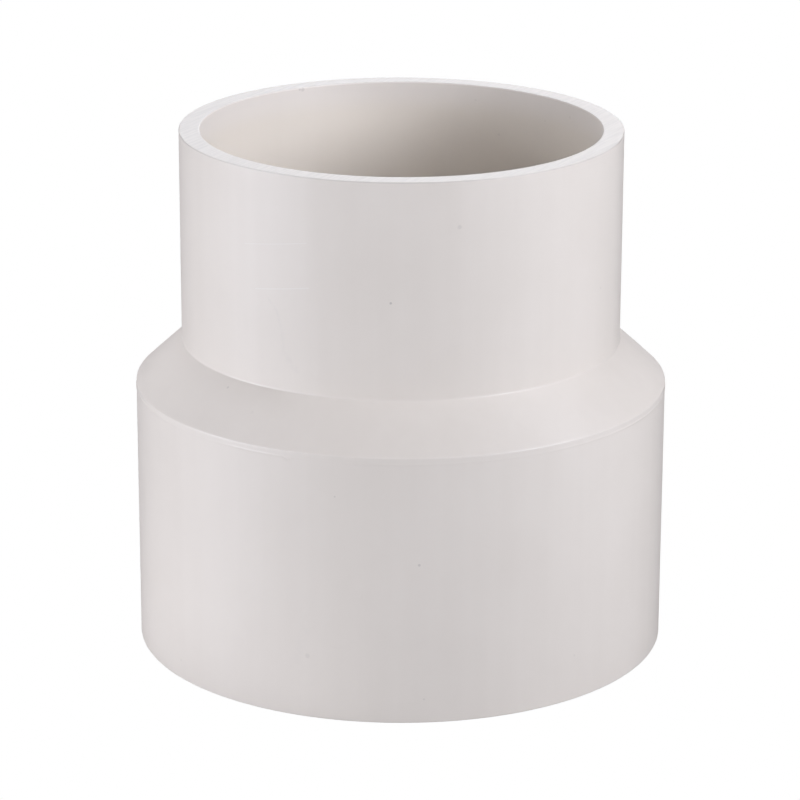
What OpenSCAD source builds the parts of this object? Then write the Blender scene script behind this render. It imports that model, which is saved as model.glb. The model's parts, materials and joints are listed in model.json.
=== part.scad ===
// In-line reducer for plastic pressure pipe, with a glued socket at each end.
// One injection moulding. It stands on its large end: the origin is the middle of
// that rim, and +Z runs up the common axis to the small end. Millimetres.

/* [Large socket] */
// Bore of the large socket, which slides over a 110 mm pipe
large_bore = 110.2; // [104:0.1:135]
// Depth of the large socket, from its mouth to its stop ledge
large_depth = 61; // [35:0.5:90]
// Wall of the large socket
large_wall = 5.1; // [3:0.05:7]
// Width of the ledge that stops the large pipe
large_ledge = 3.2; // [2.5:0.1:5]

/* [Small socket] */
// Bore of the small socket, which slides over a 90 mm pipe
small_bore = 90.2; // [72:0.1:92]
// Depth of the small socket, from its mouth to its stop ledge
small_depth = 51; // [43:0.5:80]
// Wall of the small socket
small_wall = 4.65; // [3:0.05:7]
// Width of the ledge that stops the small pipe
small_ledge = 2.7; // [2.5:0.1:5]

/* [Reduction] */
// Height between the two stop ledges
web_height = 6.6; // [5:0.1:12]
// Slope of the conical shoulder on the outside, up from level
shoulder_angle = 42.6; // [35:0.1:50]
// How far below the large stop ledge the shoulder starts
shoulder_drop = 0.3; // [0:0.1:1]

/* [Edges] */
// Bevel in the corner between each bore and its ledge
seat_bevel = 1.5; // [0.5:0.1:2]
// Chamfer that leads a pipe into each bore
lead_in = 0.2; // [0.1:0.05:1.5]
// Broken outer edge of each rim
edge_break = 0.2; // [0.1:0.05:1]
// Distance of the mould's parting line below the shoulder
parting_drop = 1.35; // [0.8:0.05:5]
// Width of the witness bead that the parting line leaves
parting_width = 0.5; // [0.2:0.05:1]
// Height of that bead above the wall
parting_height = 0.12; // [0.05:0.01:0.4]

/* [Hidden] */

// Facets on round surfaces
$fn = 96;
// Overrun of each cut past the face it opens
cut = 1;

// Radii from the axis
large_bore_r = large_bore / 2;
small_bore_r = small_bore / 2;
large_outer_r = large_bore_r + large_wall;
small_outer_r = small_bore_r + small_wall;
large_ledge_r = large_bore_r - large_ledge;
small_ledge_r = small_bore_r - small_ledge;

// Heights above the large rim
large_stop_z = large_depth;
small_stop_z = large_stop_z + web_height;
top_z = small_stop_z + small_depth;
shoulder_low_z = large_stop_z - shoulder_drop;
shoulder_high_z = shoulder_low_z + (large_outer_r - small_outer_r) * tan(shoulder_angle);
parting_z = shoulder_low_z - parting_drop;

pvc_white = [0.87, 0.85, 0.84];

// Half of the outside, as a section to be turned about the axis: the large wall
// with its parting bead, the shoulder, and the small wall.
module outer_section() {
    polygon([
        [0, 0],
        [large_outer_r - edge_break, 0],
        [large_outer_r, edge_break],
        [large_outer_r, parting_z - parting_width / 2],
        [large_outer_r + parting_height, parting_z - parting_width / 4],
        [large_outer_r + parting_height, parting_z + parting_width / 4],
        [large_outer_r, parting_z + parting_width / 2],
        [large_outer_r, shoulder_low_z],
        [small_outer_r, shoulder_high_z],
        [small_outer_r, top_z - edge_break],
        [small_outer_r - edge_break, top_z],
        [0, top_z]
    ]);
}

// Half of the inside: each bore from the lead-in at its mouth to the bevelled
// corner of its ledge, and the tapered waterway between the ledges.
module inner_section() {
    polygon([
        [0, -cut],
        [large_bore_r + lead_in + cut, -cut],
        [large_bore_r, lead_in],
        [large_bore_r, large_stop_z - seat_bevel],
        [large_bore_r - seat_bevel, large_stop_z],
        [large_ledge_r, large_stop_z],
        [small_ledge_r, small_stop_z],
        [small_bore_r - seat_bevel, small_stop_z],
        [small_bore_r, small_stop_z + seat_bevel],
        [small_bore_r, top_z - lead_in],
        [small_bore_r + lead_in + cut, top_z + cut],
        [0, top_z + cut]
    ]);
}

module reducer_body() {
    color(pvc_white)
    rotate_extrude()
    difference() {
        outer_section();
        inner_section();
    }
}

reducer_body();
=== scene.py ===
"""Looks of the moulded pipe reducer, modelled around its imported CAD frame.

Metres throughout, in the part's own frame: the part stands on z = 0 and its axis is +Z.
An azimuth is measured round that axis in degrees, from the camera's side (-Y) towards +X.
"""
import json
import math
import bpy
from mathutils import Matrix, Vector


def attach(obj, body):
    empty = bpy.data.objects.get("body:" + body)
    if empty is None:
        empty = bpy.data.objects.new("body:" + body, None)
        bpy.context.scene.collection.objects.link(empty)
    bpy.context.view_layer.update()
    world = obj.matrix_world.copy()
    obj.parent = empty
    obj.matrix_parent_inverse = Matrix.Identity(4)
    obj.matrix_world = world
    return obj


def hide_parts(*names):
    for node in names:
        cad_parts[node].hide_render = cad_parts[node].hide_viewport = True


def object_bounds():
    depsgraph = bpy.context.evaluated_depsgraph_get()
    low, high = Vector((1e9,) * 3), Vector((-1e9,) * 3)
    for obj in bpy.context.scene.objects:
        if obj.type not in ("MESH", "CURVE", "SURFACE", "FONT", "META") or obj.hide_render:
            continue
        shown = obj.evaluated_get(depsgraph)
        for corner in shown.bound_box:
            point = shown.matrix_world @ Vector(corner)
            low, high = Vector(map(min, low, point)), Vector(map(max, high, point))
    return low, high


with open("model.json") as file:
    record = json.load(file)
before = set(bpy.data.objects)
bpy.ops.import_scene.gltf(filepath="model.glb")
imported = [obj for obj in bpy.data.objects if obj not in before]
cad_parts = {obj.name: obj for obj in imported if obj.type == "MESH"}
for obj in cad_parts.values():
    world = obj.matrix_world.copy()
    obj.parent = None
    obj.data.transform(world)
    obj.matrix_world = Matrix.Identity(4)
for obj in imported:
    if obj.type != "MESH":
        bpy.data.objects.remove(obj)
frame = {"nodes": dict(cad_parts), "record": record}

from types import SimpleNamespace

import bpy
from mathutils import Euler, Vector

cad_low, cad_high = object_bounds()

MM = 0.001
ROUND_COUNT = 360
SAME = 0.02 * MM

# ---------------------------------------------------------------- sizes from the frame

body_node = frame["nodes"]["reducer_body"]
mounts = {mount["name"]: mount for mount in frame["record"]["mounts"]}


def cad_rings(node):
    """Radius and height of each ring of corners on a turned CAD node."""
    return {(math.hypot(v.co.x, v.co.y), v.co.z) for v in node.data.vertices}


def same(a, b):
    """True for two sizes that differ only by the mesh's rounding."""
    return abs(a - b) < SAME


rings = cad_rings(body_node)
top_z = cad_high.z
bead_radius = cad_high.x
large_bore = mounts["large_socket"]["dims"]["r_mm"] * MM
small_bore = mounts["small_socket"]["dims"]["r_mm"] * MM
large_stop_z = mounts["large_stop"]["pos_m"][2]
small_stop_z = mounts["small_stop"]["pos_m"][2]
large_radius = max(r for r, z in rings if r < bead_radius - SAME)
small_radius = max(r for r, z in rings if z > top_z - 1 * MM)
shoulder_low_z = max(z for r, z in rings if same(r, large_radius))
shoulder_high_z = min(z for r, z in rings if same(r, small_radius))
bead_levels = [z for r, z in rings if same(r, bead_radius)]
parting_z = (min(bead_levels) + max(bead_levels)) / 2
bead_height = bead_radius - large_radius
large_seat_z = max(z for r, z in rings if same(r, large_bore))
small_seat_z = min(z for r, z in rings if same(r, small_bore))
large_ledge = min(r for r, z in rings if same(z, large_stop_z))
small_ledge = min(r for r, z in rings if same(z, small_stop_z))

# ---------------------------------------------------------------- sizes of the fine shapes

# roundings of the corners
RIM_ROUND = 0.2 * MM
SHOULDER_ROUND = 0.16 * MM
SEAT_ROUND = 0.5 * MM
SEAT_FOOT_ROUND = 0.4 * MM
LEDGE_ROUND = 0.3 * MM

# how far from a corner the next station stands, outside and inside
OUTER_HOLD = 0.35 * MM
INNER_HOLD = 0.7 * MM

# the parting bead: half its width at the foot, and the plain strip kept on each side of it
BEAD_HALF = 0.25 * MM
BEAD_MARGIN = 0.12 * MM

# the trimmed gate: its azimuth, how far it hangs below the parting, and its patch of finer faces
GATE_AZIMUTH = -24
GATE_DROP = 0.35 * MM
GATE_PATCH_HALF = 3
GATE_PATCH_LOW = 2.6 * MM
GATE_PATCH_HIGH = 0.3 * MM
GATE_ROW_DROP = 1.6 * MM


# ---------------------------------------------------------------- the moulding

def turned(name, stations):
    """A ring-shaped body: a circle extruded from station to station until it meets itself."""
    bpy.ops.object.select_all(action="DESELECT")
    radius, height = stations[0]
    bpy.ops.mesh.primitive_circle_add(
        vertices=ROUND_COUNT, radius=radius, fill_type="NOTHING", enter_editmode=True
    )
    bpy.ops.transform.translate(value=(0, 0, height))
    for next_radius, next_height in stations[1:] + stations[:1]:
        bpy.ops.mesh.extrude_edges_move(
            TRANSFORM_OT_translate={"value": (0, 0, next_height - height)}
        )
        grow = next_radius / radius
        bpy.ops.transform.resize(value=(grow, grow, 1), center_override=(0, 0, next_height))
        radius, height = next_radius, next_height
    bpy.ops.mesh.select_all(action="SELECT")
    bpy.ops.mesh.remove_doubles(threshold=SAME / 2)
    bpy.ops.mesh.normals_make_consistent(inside=False)
    bpy.ops.object.mode_set(mode="OBJECT")
    piece = bpy.context.object
    piece.name = piece.data.name = name
    return piece


def select_nothing(mesh):
    """Clears the selection on a mesh that is in object mode."""
    for element in list(mesh.polygons) + list(mesh.edges) + list(mesh.vertices):
        element.select = False


def round_ring(piece, corner, width, steps):
    """Rounds the ring of edges at one corner, given as (radius, height)."""
    mesh = piece.data
    on_ring = [
        same(math.hypot(v.co.x, v.co.y), corner[0]) and same(v.co.z, corner[1])
        for v in mesh.vertices
    ]
    select_nothing(mesh)
    for edge in mesh.edges:
        edge.select = all(on_ring[v] for v in edge.vertices)
    bpy.ops.object.mode_set(mode="EDIT")
    bpy.ops.mesh.select_mode(type="EDGE")
    bpy.ops.mesh.bevel(
        offset_type="OFFSET", offset=width, segments=steps, profile=0.5, affect="EDGES"
    )
    bpy.ops.object.mode_set(mode="OBJECT")


def steps_between(start, end, count):
    """Stations spaced evenly along a straight wall, both ends left out."""
    return [
        tuple(start[i] + (end[i] - start[i]) * step / count for i in (0, 1))
        for step in range(1, count)
    ]


def held(start, end, margin, count):
    """Stations along a wall with one close to each end, which keep the rounding there local."""
    length = math.dist(start, end)
    first = tuple(start[i] + (end[i] - start[i]) * margin / length for i in (0, 1))
    last = tuple(end[i] - (end[i] - start[i]) * margin / length for i in (0, 1))
    return [first] + steps_between(first, last, count) + [last]


def azimuth_of(point):
    """Azimuth of a point round the axis, in degrees."""
    return math.degrees(math.atan2(point.x, -point.y))


def set_radius(vertex, radius):
    """Moves a vertex straight out from the axis, or in, to a radius."""
    grow = radius / math.hypot(vertex.co.x, vertex.co.y)
    vertex.co.x *= grow
    vertex.co.y *= grow


def bell(distance, width):
    """Smooth hump: 1 at no distance, falling to nothing a few widths away."""
    return math.exp(-((distance / width) ** 2))


def bead_share(azimuth):
    """Share of the parting bead's full height that is left at an azimuth."""
    turn = math.radians(azimuth)
    low_but_at_the_sides = 0.2 + 0.7 * math.sin(turn) ** 8
    unevenness = 0.03 * math.cos(7 * turn) + 0.02 * math.cos(19 * turn)
    tight_at_left = 0.13 * bell(azimuth + 46, 13)
    loose_at_right = 0.12 * bell(azimuth - 40, 14)
    flash_by_gate = 0.2 * bell(azimuth - GATE_AZIMUTH + 7, 6)
    trimmed = 0.85 * bell(azimuth - GATE_AZIMUTH - 6, 5)
    share = low_but_at_the_sides + unevenness - tight_at_left + loose_at_right + flash_by_gate
    return max(0.05, min(1, share * (1 - trimmed)))


def fade_parting_bead(piece):
    """Lowers the parting bead where the mould closed tightly and where the gate was trimmed."""
    for vertex in piece.data.vertices:
        if math.hypot(vertex.co.x, vertex.co.y) > large_radius + bead_height / 2:
            set_radius(vertex, large_radius + bead_height * bead_share(azimuth_of(vertex.co)))


def by_gate(polygon):
    """True for a face of the outer wall in the patch round the gate."""
    centre = polygon.center
    return (
        math.hypot(centre.x, centre.y) > large_radius - 0.5 * MM
        and abs(azimuth_of(centre) - GATE_AZIMUTH) < GATE_PATCH_HALF
        and -GATE_PATCH_LOW < centre.z - parting_z < GATE_PATCH_HIGH
    )


def gate_radius(point):
    """Radius of the wall near the gate: a lip that leans across the bead, with a pit beside it."""
    lip_width = 0.22 * MM
    lip_length = 0.9 * MM
    lip_lean = 0.45
    pit_away = 1.1 * MM
    pit_width = 0.6 * MM
    pit_depth = 0.5 * bead_height
    across = math.radians(azimuth_of(point) - GATE_AZIMUTH) * large_radius
    up = point.z - parting_z + GATE_DROP
    bead = max(math.hypot(point.x, point.y) - large_radius, 0)
    lip = bead_height * bell(up + lip_lean * across, lip_width) * bell(across, lip_length)
    pit = pit_depth * bell(math.hypot(across - pit_away, up), pit_width)
    return large_radius + min(bead_height, max(bead, lip) - pit)


def trimmed_gate(piece):
    """The gate's vestige: a small raised lip that leans across the end of the parting bead."""
    mesh = piece.data
    select_nothing(mesh)
    for polygon in mesh.polygons:
        polygon.select = by_gate(polygon)
    bpy.ops.object.mode_set(mode="EDIT")
    bpy.ops.mesh.select_mode(type="FACE")
    bpy.ops.mesh.subdivide(number_cuts=5)
    bpy.ops.object.mode_set(mode="OBJECT")
    for vertex in mesh.vertices:
        if vertex.select:
            set_radius(vertex, gate_radius(vertex.co))
    # a point in the middle of each many-sided face round the patch, so that none splits badly
    bpy.ops.object.mode_set(mode="EDIT")
    bpy.ops.mesh.select_all(action="DESELECT")
    bpy.ops.mesh.select_face_by_sides(number=4, type="GREATER", extend=False)
    bpy.ops.mesh.poke()
    bpy.ops.object.mode_set(mode="OBJECT")


def reducer_moulding():
    """The whole fitting in one piece: two sockets, the shoulder and the waterway."""
    large_mouth = (large_bore, 0)
    large_rim = (large_radius, 0)
    gate_row = (large_radius, parting_z - GATE_ROW_DROP)
    below_bead = (large_radius, parting_z - BEAD_HALF - BEAD_MARGIN)
    bead_foot = (large_radius, parting_z - BEAD_HALF)
    bead_low = (bead_radius, parting_z - BEAD_HALF / 2)
    bead_high = (bead_radius, parting_z + BEAD_HALF / 2)
    bead_head = (large_radius, parting_z + BEAD_HALF)
    above_bead = (large_radius, parting_z + BEAD_HALF + BEAD_MARGIN)
    below_shoulder = (large_radius, shoulder_low_z - 0.3 * MM)
    shoulder_low = (large_radius, shoulder_low_z)
    shoulder_high = (small_radius, shoulder_high_z)
    small_rim = (small_radius, top_z)
    small_mouth = (small_bore, top_z)
    small_seat = (small_bore, small_seat_z)
    small_seat_foot = (small_bore - (small_seat_z - small_stop_z), small_stop_z)
    small_lip = (small_ledge, small_stop_z)
    large_lip = (large_ledge, large_stop_z)
    large_seat_foot = (large_bore - (large_stop_z - large_seat_z), large_stop_z)
    large_seat = (large_bore, large_seat_z)
    stations = (
        [large_mouth] + held(large_mouth, large_rim, OUTER_HOLD, 3)
        + [large_rim] + held(large_rim, gate_row, OUTER_HOLD, 12)
        + [gate_row, below_bead, bead_foot, bead_low]
        + [bead_high, bead_head, above_bead, below_shoulder]
        + [shoulder_low] + held(shoulder_low, shoulder_high, OUTER_HOLD, 6)
        + [shoulder_high] + held(shoulder_high, small_rim, OUTER_HOLD, 10)
        + [small_rim] + held(small_rim, small_mouth, OUTER_HOLD, 3)
        + [small_mouth] + held(small_mouth, small_seat, INNER_HOLD, 10)
        + [small_seat, small_seat_foot]
        + [small_lip] + held(small_lip, large_lip, INNER_HOLD, 4)
        + [large_lip, large_seat_foot]
        + [large_seat] + held(large_seat, large_mouth, INNER_HOLD, 12)
    )
    body = turned("reducer_moulding", stations)
    for corner, width, steps in (
        (large_mouth, RIM_ROUND, 4),
        (large_rim, RIM_ROUND, 4),
        (shoulder_low, SHOULDER_ROUND, 3),
        (shoulder_high, SHOULDER_ROUND, 3),
        (small_rim, RIM_ROUND, 4),
        (small_mouth, RIM_ROUND, 4),
        (small_seat, SEAT_ROUND, 4),
        (small_seat_foot, SEAT_FOOT_ROUND, 4),
        (small_lip, LEDGE_ROUND, 4),
        (large_lip, LEDGE_ROUND, 4),
        (large_seat_foot, SEAT_FOOT_ROUND, 4),
        (large_seat, SEAT_ROUND, 4),
    ):
        round_ring(body, corner, width, steps)
    fade_parting_bead(body)
    trimmed_gate(body)
    bpy.ops.object.select_all(action="DESELECT")
    body.select_set(True)
    bpy.context.view_layer.objects.active = body
    bpy.ops.object.shade_smooth()
    return body


# ---------------------------------------------------------------- colours of the finish, with painted shade and a painted highlight

WALL_DULL = (0.787, 0.719, 0.642, 1)
WALL_FRESH = (0.813, 0.745, 0.668, 1)
# the bore's colour deep down, darker and yellower as painted shade, and at its mouth
BORE_PAINTED_SHADE_DEEP = (0.80, 0.73, 0.63, 1)
BORE_AT_MOUTH = (0.83, 0.775, 0.72, 1)
SAW_CUT_DARK = (0.77, 0.71, 0.625, 1)
SAW_CUT_PALE = (0.84, 0.775, 0.683, 1)
# painted highlight: a pale line along the small mouth's inner edge
MOUTH_EDGE_PAINTED_HIGHLIGHT = (0.93, 0.865, 0.79, 1)
# painted shade: a dark line along the small rim's outer edge
RIM_EDGE_PAINTED_SHADE = (0.30, 0.28, 0.27, 1)
SMUDGE_GREY = (0.45, 0.43, 0.42, 1)
HAIRLINE_WHITE = (0.95, 0.93, 0.90, 1)
SPECK_BROWN = (0.22, 0.19, 0.17, 1)

# azimuth and height in mm, width in mm, strength
SPECKS_OUTSIDE = (
    (14.4, 108.5, 0.65, 0.14),
    (-2.5, 92.1, 0.36, 0.40),
    (-47, 68.6, 0.42, 0.20),
    (-36, 65.8, 0.50, 0.05),
    (-13.5, 51.6, 0.28, 0.20),
    (3.9, 36.6, 0.42, 0.26),
    (-19.5, 14.3, 0.75, 0.10),
    (5, 5.5, 0.33, 0.14),
    (-54.5, 4.4, 0.45, 0.07),
    (39.7, 10.4, 0.40, 0.08),
    (62, 88, 0.35, 0.12),
    (118, 97, 0.40, 0.22),
    (151, 31, 0.45, 0.16),
    (-96, 42, 0.35, 0.20),
    (-139, 104, 0.35, 0.25),
    (-170, 18, 0.50, 0.12),
)
SPECKS_IN_BORE = (
    (-149.2, 118.1, 0.65, 0.18),
    (-148.2, 118.2, 0.40, 0.20),
    (120.9, 115.3, 0.45, 0.10),
    (132.4, 112.8, 0.40, 0.08),
    (149.5, 107.4, 0.45, 0.10),
    (157.3, 115, 0.35, 0.08),
    (-75, 84, 0.40, 0.15),
)

# start and end as azimuth and height in mm, width in mm, strength
HAIRLINES = (
    ((-42.5, 101.6), (-24, 104.1), 0.16, 0.8),
    ((-39, 92.1), (-23.5, 94.2), 0.20, 1.0),
    ((132, 84), (147, 85.5), 0.16, 0.8),
    ((-118, 27), (-101, 24.5), 0.18, 0.7),
)
SMUDGES = (
    ((-35, 90.5), (-32.5, 88), 0.5, 0.8),
    ((-32.5, 88), (-31, 84), 0.6, 0.9),
    ((-31, 84), (-30.5, 79), 0.8, 0.6),
    ((-30.5, 79), (-27, 75.4), 1.2, 0.8),
    ((-20, 20), (-22, 13), 1.6, 0.5),
    ((95, 60), (99, 44), 1.8, 0.6),
)


# ---------------------------------------------------------------- the finish

class Shop:
    """Adds nodes to one material's tree and joins them up."""

    def __init__(self, material):
        self.tree = material.node_tree

    def feed(self, socket, value):
        """Joins an output to a socket, or sets the socket to a plain value."""
        if isinstance(value, bpy.types.NodeSocket):
            self.tree.links.new(value, socket)
        else:
            socket.default_value = value

    def add(self, kind, *values, **settings):
        """A node of one kind with its settings made and its inputs fed in order."""
        node = self.tree.nodes.new(kind)
        for name, value in settings.items():
            setattr(node, name, value)
        for socket, value in zip(node.inputs, values):
            self.feed(socket, value)
        return node

    def maths(self, operation, a, b=0.0, c=0.0):
        """One step of arithmetic."""
        return self.add("ShaderNodeMath", a, b, c, operation=operation).outputs[0]

    def times(self, a, b):
        """The product of two values."""
        return self.maths("MULTIPLY", a, b)

    def plus(self, total, a, share):
        """A total with a share of one more value added."""
        return self.maths("MULTIPLY_ADD", a, share, total)

    def vector(self, operation, a, b=(0, 0, 0)):
        """One step of arithmetic on vectors."""
        return self.add("ShaderNodeVectorMath", a, b, operation=operation)

    def ramp(self, value, low, high, to_low=0.0, to_high=1.0):
        """Smooth change from one value to another as the input goes from low to high."""
        node = self.add("ShaderNodeMapRange", interpolation_type="SMOOTHSTEP")
        for socket, number in zip(node.inputs, (value, low, high, to_low, to_high)):
            self.feed(socket, number)
        return node.outputs[0]

    def noise(self, place, scale, detail, roughness=0.5):
        """Soft noise, 0 to 1, of so many lumps to the metre."""
        node = self.add("ShaderNodeTexNoise")
        self.feed(node.inputs["Vector"], place)
        self.feed(node.inputs["Scale"], scale)
        self.feed(node.inputs["Detail"], detail)
        self.feed(node.inputs["Roughness"], roughness)
        return node.outputs[0]

    def blend(self, amount, a, b):
        """A colour between a and b."""
        node = self.add("ShaderNodeMix", data_type="RGBA")
        self.feed(node.inputs["Factor"], amount)
        self.feed(node.inputs[6], a)
        self.feed(node.inputs[7], b)
        return node.outputs[2]


def at_radius(radius, azimuth, height_mm):
    """A point at a radius from the axis, an azimuth and a height in millimetres."""
    turn = math.radians(azimuth)
    return (radius * math.sin(turn), -radius * math.cos(turn), height_mm * MM)


def on_outside(azimuth, height_mm):
    """A point on the outside, from its azimuth and its height in millimetres."""
    up_shoulder = (height_mm * MM - shoulder_low_z) / (shoulder_high_z - shoulder_low_z)
    up_shoulder = max(0, min(1, up_shoulder))
    radius = large_radius + (small_radius - large_radius) * up_shoulder
    return at_radius(radius, azimuth, height_mm)


def unrolled(azimuth, height_mm):
    """A place on the outside as (millimetres round the small wall, millimetres up, 0)."""
    return Vector((math.radians(azimuth) * small_radius / MM, height_mm, 0))


def streak(shop, sheet, start, end, width_mm, strength):
    """Mask of a straight mark on the unrolled outside, from start to end."""
    run = end - start
    out = shop.vector("SUBTRACT", sheet, start).outputs[0]
    along = shop.vector("DOT_PRODUCT", out, run).outputs["Value"]
    share = shop.add(
        "ShaderNodeMath", along, 1 / run.length_squared, operation="MULTIPLY", use_clamp=True
    )
    foot = shop.add("ShaderNodeVectorMath", run, operation="SCALE")
    shop.feed(foot.inputs["Scale"], share.outputs[0])
    away = shop.vector("DISTANCE", out, foot.outputs[0]).outputs["Value"]
    return shop.ramp(away, 0.0, width_mm, strength, 0.0)


def speck(shop, place, centre, width_mm, strength):
    """Mask of a small round speck at a point on the surface."""
    away = shop.vector("DISTANCE", place, centre).outputs["Value"]
    return shop.ramp(away, width_mm * 0.4 * MM, width_mm * MM, strength, 0.0)


def together(shop, masks):
    """The strongest of several masks at each place."""
    total = masks[0]
    for mask in masks[1:]:
        total = shop.maths("MAXIMUM", total, mask)
    return total


def surface_places(shop):
    """Where a point of the surface lies: its place, radius, turn, height and unrolled place."""
    coordinates = shop.add("ShaderNodeTexCoord")
    place = coordinates.outputs["Object"]
    x, y, z = shop.add("ShaderNodeSeparateXYZ", place).outputs
    flat = shop.add("ShaderNodeCombineXYZ", x, y, 0.0).outputs[0]
    turn = shop.maths("ARCTAN2", x, shop.times(y, -1.0))
    round_mm = shop.times(turn, small_radius / MM)
    up_mm = shop.times(z, 1 / MM)
    return SimpleNamespace(
        place=place,
        z=z,
        radius=shop.vector("LENGTH", flat).outputs["Value"],
        turn=turn,
        sheet=shop.add("ShaderNodeCombineXYZ", round_mm, up_mm, 0.0).outputs[0],
        facing_up=shop.add("ShaderNodeSeparateXYZ", coordinates.outputs["Normal"]).outputs[2],
    )


def surface_zones(shop, at):
    """Masks of the outside, the bore, the sawn rims and the edges of the small mouth, where a
    highlight and a shade line are painted.
    """
    from_middle = shop.maths("ABSOLUTE", shop.maths("SUBTRACT", at.z, top_z / 2))
    at_end = shop.ramp(from_middle, top_z / 2 - 0.15 * MM, top_z / 2 - 0.05 * MM)
    level = shop.ramp(shop.maths("ABSOLUTE", at.facing_up), 0.9, 0.98)
    near_top = shop.ramp(at.z, top_z - 0.4 * MM, top_z - 0.2 * MM)
    by_mouth = shop.ramp(at.radius, small_bore + 0.1 * MM, small_bore + 0.3 * MM, 1.0, 0.0)
    by_outside = shop.ramp(at.radius, small_radius - 0.16 * MM, small_radius - 0.04 * MM)
    return SimpleNamespace(
        outside=shop.ramp(at.radius, small_bore + 1 * MM, small_bore + 2 * MM),
        in_bore=shop.ramp(at.radius, small_bore + 0.5 * MM, small_bore + 1.5 * MM, 1.0, 0.0),
        # height up the bore, for the painted shade that darkens it downwards
        near_mouth=shop.ramp(at.z, top_z - 8 * MM, top_z - 2 * MM),
        cut_rim=shop.times(at_end, level),
        # where a highlight is painted along the small mouth's inner edge
        mouth_edge_painted_highlight=shop.times(by_mouth, near_top),
        # where a shade line is painted along the small rim's outer edge
        outer_edge_painted_shade=shop.times(by_outside, near_top),
    )


def moulding_patterns(shop, at):
    """Noises of the plastic: clouds, draw streaks up the walls, skin, grain and saw marks."""
    drawn_up = shop.vector("MULTIPLY", at.place, (1, 1, 0.03)).outputs[0]
    slow_turn = shop.times(at.turn, 0.0006)
    ring_place = shop.add("ShaderNodeCombineXYZ", at.radius, slow_turn, 0.0).outputs[0]
    across_saw = shop.vector("DOT_PRODUCT", at.place, (0.88, -0.47, 0)).outputs["Value"]
    along_saw = shop.vector("DOT_PRODUCT", at.place, (0.02, 0.04, 0)).outputs["Value"]
    saw_place = shop.add("ShaderNodeCombineXYZ", across_saw, along_saw, 0.0).outputs[0]
    return SimpleNamespace(
        clouds=shop.noise(at.place, 38.0, 3.0, 0.55),
        broad_draw=shop.noise(drawn_up, 260.0, 2.0),
        fine_draw=shop.noise(drawn_up, 1100.0, 3.0, 0.6),
        skin=shop.noise(at.place, 900.0, 2.0),
        grain=shop.noise(at.place, 2600.0, 3.0, 0.65),
        rim_rings=shop.noise(ring_place, 2400.0, 3.0, 0.7),
        saw_lines=shop.ramp(shop.noise(saw_place, 1300.0, 3.0, 0.7), 0.32, 0.68),
    )


def drawn_lines(shop, at, zone, lines):
    """Mask of a set of straight marks on the outside."""
    masks = [
        streak(shop, at.sheet, unrolled(*start), unrolled(*end), width, strength)
        for start, end, width, strength in lines
    ]
    return shop.times(together(shop, masks), zone.outside)


def handling_marks(shop, at, zone):
    """Masks of the specks, hairlines and smudges that one part has picked up."""
    specks = [
        speck(shop, at.place, on_outside(azimuth, height), width, strength)
        for azimuth, height, width, strength in SPECKS_OUTSIDE
    ]
    specks += [
        speck(shop, at.place, at_radius(small_bore, azimuth, height), width, strength)
        for azimuth, height, width, strength in SPECKS_IN_BORE
    ]
    patchy = shop.ramp(shop.noise(at.place, 750.0, 2.0), 0.35, 0.62, 0.25, 1.0)
    return SimpleNamespace(
        specks=together(shop, specks),
        hairlines=drawn_lines(shop, at, zone, HAIRLINES),
        smudges=shop.times(drawn_lines(shop, at, zone, SMUDGES), patchy),
    )


def plastic_colour(shop, zone, pattern, mark):
    """Off-white walls, sawn rims and bore, with marks laid over them, shade painted deeper in the
    bore, and a painted highlight and a painted shade line at the small mouth's edges.
    """
    tone = shop.plus(shop.times(pattern.broad_draw, 0.3), pattern.clouds, 0.7)
    wall = shop.blend(shop.ramp(tone, 0.3, 0.7), WALL_DULL, WALL_FRESH)
    # painted shade: the bore darker and yellower deeper down than at its mouth
    bore = shop.blend(zone.near_mouth, BORE_PAINTED_SHADE_DEEP, BORE_AT_MOUTH)
    rim = shop.blend(pattern.saw_lines, SAW_CUT_DARK, SAW_CUT_PALE)
    colour = wall
    for mask, strength, over in (
        (zone.in_bore, 0.5, bore),
        (zone.cut_rim, 1.0, rim),
        # a painted highlight along the small mouth's inner edge
        (zone.mouth_edge_painted_highlight, 0.8, MOUTH_EDGE_PAINTED_HIGHLIGHT),
        # a painted shade line along the small rim's outer edge
        (zone.outer_edge_painted_shade, 0.14, RIM_EDGE_PAINTED_SHADE),
        (mark.smudges, 0.07, SMUDGE_GREY),
        (mark.hairlines, 0.25, HAIRLINE_WHITE),
        (mark.specks, 1.0, SPECK_BROWN),
    ):
        colour = shop.blend(shop.times(mask, strength), colour, over)
    return colour


def plastic_roughness(shop, zone, pattern, mark):
    """Satin walls, a little rougher where they are smudged and dull on the sawn rims."""
    rough = shop.plus(0.335, pattern.skin, 0.05)
    rough = shop.plus(rough, pattern.broad_draw, 0.05)
    rough = shop.plus(rough, mark.smudges, 0.08)
    return shop.plus(rough, zone.cut_rim, 0.24)


def plastic_relief(shop, zone, pattern, mark):
    """Height of the fine relief in metres: skin, draw streaks, hairlines and saw marks."""
    relief = shop.times(pattern.skin, 0.0035 * MM)
    relief = shop.plus(relief, pattern.broad_draw, 0.005 * MM)
    relief = shop.plus(relief, pattern.fine_draw, 0.0012 * MM)
    relief = shop.plus(relief, mark.hairlines, -0.01 * MM)
    relief = shop.plus(relief, shop.times(zone.cut_rim, pattern.rim_rings), 0.01 * MM)
    return shop.plus(relief, shop.times(zone.cut_rim, pattern.grain), 0.006 * MM)


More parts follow.
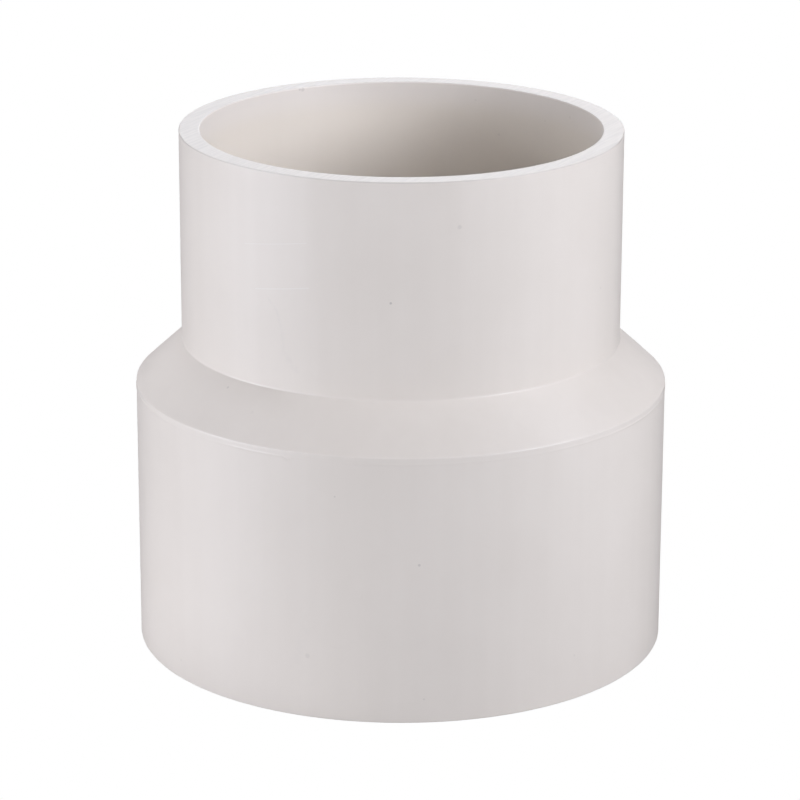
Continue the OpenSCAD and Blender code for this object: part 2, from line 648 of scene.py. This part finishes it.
def satin_pvc():
    """Off-white satin PVC-U: moulding blotches, draw lines, cut rims, specks and handling marks."""
    material = bpy.data.materials.new("satin_pvc")
    material.use_nodes = True
    shop = Shop(material)
    shader = material.node_tree.nodes["Principled BSDF"]
    at = surface_places(shop)
    zone = surface_zones(shop, at)
    pattern = moulding_patterns(shop, at)
    mark = handling_marks(shop, at, zone)
    bump = shop.add("ShaderNodeBump")
    bump.inputs["Strength"].default_value = 1.0
    bump.inputs["Distance"].default_value = 1.0
    shop.feed(bump.inputs["Height"], plastic_relief(shop, zone, pattern, mark))
    shop.feed(shader.inputs["Base Color"], plastic_colour(shop, zone, pattern, mark))
    shop.feed(shader.inputs["Roughness"], plastic_roughness(shop, zone, pattern, mark))
    shop.feed(shader.inputs["Normal"], bump.outputs[0])
    shader.inputs["IOR"].default_value = 1.53
    return material


# ---------------------------------------------------------------- studio

def floor_sheet(name, size, place, shade, glow, shine):
    """A square level sheet of one even tone that isn't mirrored in the part."""
    bpy.ops.object.select_all(action="DESELECT")
    bpy.ops.mesh.primitive_plane_add(size=size, location=place)
    bpy.ops.object.transform_apply(location=True)
    sheet = bpy.context.object
    sheet.name = name
    sheet.visible_glossy = False
    material = bpy.data.materials.new(name)
    material.use_nodes = True
    shader = material.node_tree.nodes["Principled BSDF"]
    shader.inputs["Base Color"].default_value = (shade, shade, shade, 1)
    shader.inputs["Roughness"].default_value = 0.9
    shader.inputs["Specular IOR Level"].default_value = shine
    shader.inputs["Emission Color"].default_value = (1, 1, 1, 1)
    shader.inputs["Emission Strength"].default_value = glow
    sheet.data.materials.append(material)
    return sheet


def pale_floor():
    """A pale floor that throws light back up, under a clean white surface that only shows."""
    floor_sheet("floor", 12, (0, 0, -0.2 * MM), shade=0.4, glow=0, shine=0)
    surface = floor_sheet("floor_surface", 12, (0, 0, -0.1 * MM), shade=0, glow=1, shine=0)
    surface.visible_diffuse = False
    surface.visible_transmission = False
    surface.visible_shadow = False


def white_card(name, x, y):
    """A small white card on the floor, under the clean surface, that lightens the foot near it."""
    floor_sheet(name, 0.055, (x, y, -0.15 * MM), shade=0.7, glow=0, shine=0.5)


def softbox(name, azimuth, elevation, watts, distance=1.2, width=0.45, height=0.45):
    """A soft light aimed at the middle of the part, at an azimuth and a height in degrees."""
    light = bpy.data.lights.new(name, "AREA")
    light.shape = "RECTANGLE"
    light.size, light.size_y = width, height
    light.energy = watts
    light.color = (1, 1.035, 1.145)
    lamp = bpy.data.objects.new(name, light)
    bpy.context.scene.collection.objects.link(lamp)
    a, e = math.radians(azimuth), math.radians(elevation)
    away = Vector((math.sin(a) * math.cos(e), -math.cos(a) * math.cos(e), math.sin(e)))
    lamp.location = Vector((0, 0, top_z / 2)) + away * distance
    lamp.rotation_euler = away.to_track_quat("Z", "Y").to_euler()


def softboxes():
    """Large soft lights at both sides and behind, with low strips at the left."""
    softbox("front_right", 40, 20, 2.2)
    softbox("right", 60, 20, 6.1)
    softbox("near_front_right", 60, 34, 0.32, distance=0.5, width=0.30, height=0.30)
    softbox("near_right", 80, 34, 0.52, distance=0.5, width=0.30, height=0.30)
    softbox("front_left", 320, 20, 2.5)
    softbox("left", 278, 6, 5.5)
    softbox("low_strip_left", 280, 0, 1.2, height=0.10)
    softbox("low_strip_front_left", 300, 0, 3.4, height=0.10)
    softbox("back", 180, 34, 6.6)
    softbox("high_back_left", 210, 48, 2.8)


def dark_room():
    """A world that gives no light of its own, shown with plain tones."""
    world = bpy.data.worlds.new("dark_room")
    bpy.context.scene.world = world
    world.use_nodes = True
    world.node_tree.nodes["Background"].inputs["Strength"].default_value = 0
    bpy.context.scene.view_settings.view_transform = "Standard"


def camera():
    """Product-shot camera in front of the part, a little above it, tipped down and hardly rolled."""
    dip, roll = 17.926, 0.003
    data = bpy.data.cameras.new("camera")
    data.sensor_width = 36
    data.lens = 161.75
    data.clip_end = 100
    cam = bpy.data.objects.new("camera", data)
    bpy.context.scene.collection.objects.link(cam)
    cam.location = (-0.00015, -0.7829, 0.3077)
    cam.rotation_euler = Euler((math.radians(90 - dip), 0, 0))
    cam.rotation_euler.rotate_axis("Z", roll)
    bpy.context.scene.camera = cam


# ---------------------------------------------------------------- assembly

pvc = satin_pvc()
moulding = reducer_moulding()
moulding.data.materials.append(pvc)
body_node.data.materials.clear()
body_node.data.materials.append(pvc)
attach(moulding, "root")
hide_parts("reducer_body")

pale_floor()
white_card("left_card", -0.09, -0.035)
white_card("front_card", -0.04, -0.09)
dark_room()
softboxes()
camera()
